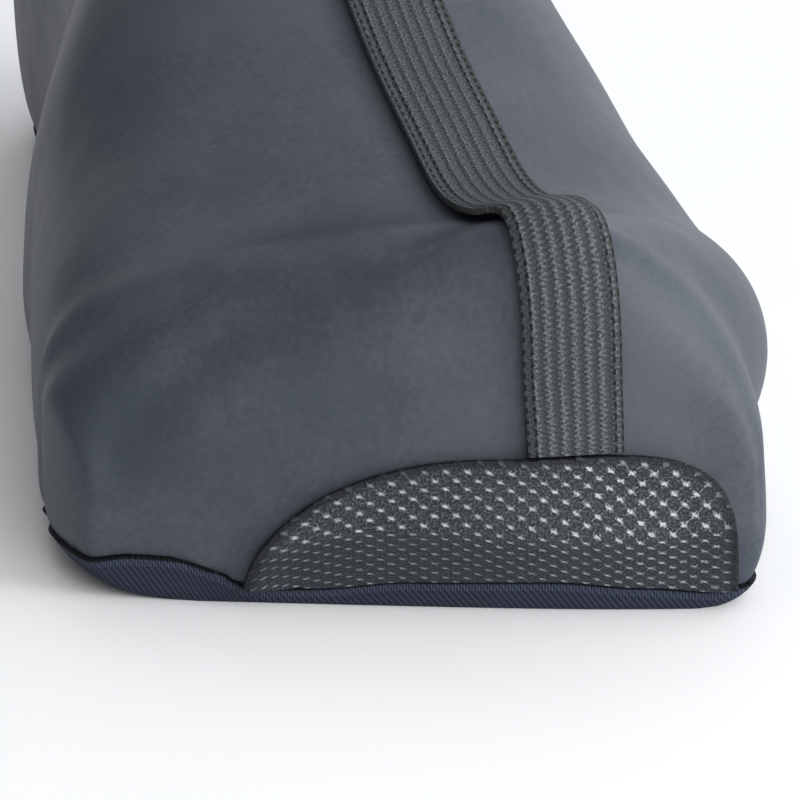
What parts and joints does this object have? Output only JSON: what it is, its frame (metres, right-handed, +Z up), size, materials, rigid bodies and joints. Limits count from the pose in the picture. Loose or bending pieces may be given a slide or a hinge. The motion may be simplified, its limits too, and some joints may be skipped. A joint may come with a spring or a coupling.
{
  "type": "overshoe",
  "caption": "Pull-on cycling overshoe for the right foot: smooth coated cloth upper with a tall cuff, woven centre tape, mesh toe cap and ribbed sole panel.",
  "frame": {"origin": "on the floor, under the middle of the box around the overshoe", "axes": "+Z up, toe towards -Y, heel towards +Y, inner side of the foot towards +X"},
  "size_m": [0.1246, 0.305, 0.2252],
  "materials": {
    "coated_cloth": "satin",
    "ribbed_fabric": "matte",
    "honeycomb_mesh": "matte",
    "woven_tape": "matte"
  },
  "bodies": {
    "root": {"upper": "coated_cloth", "sole_panel": "ribbed_fabric", "toe_cap": "honeycomb_mesh", "front_tape": "woven_tape"}
  },
  "joints": []
}
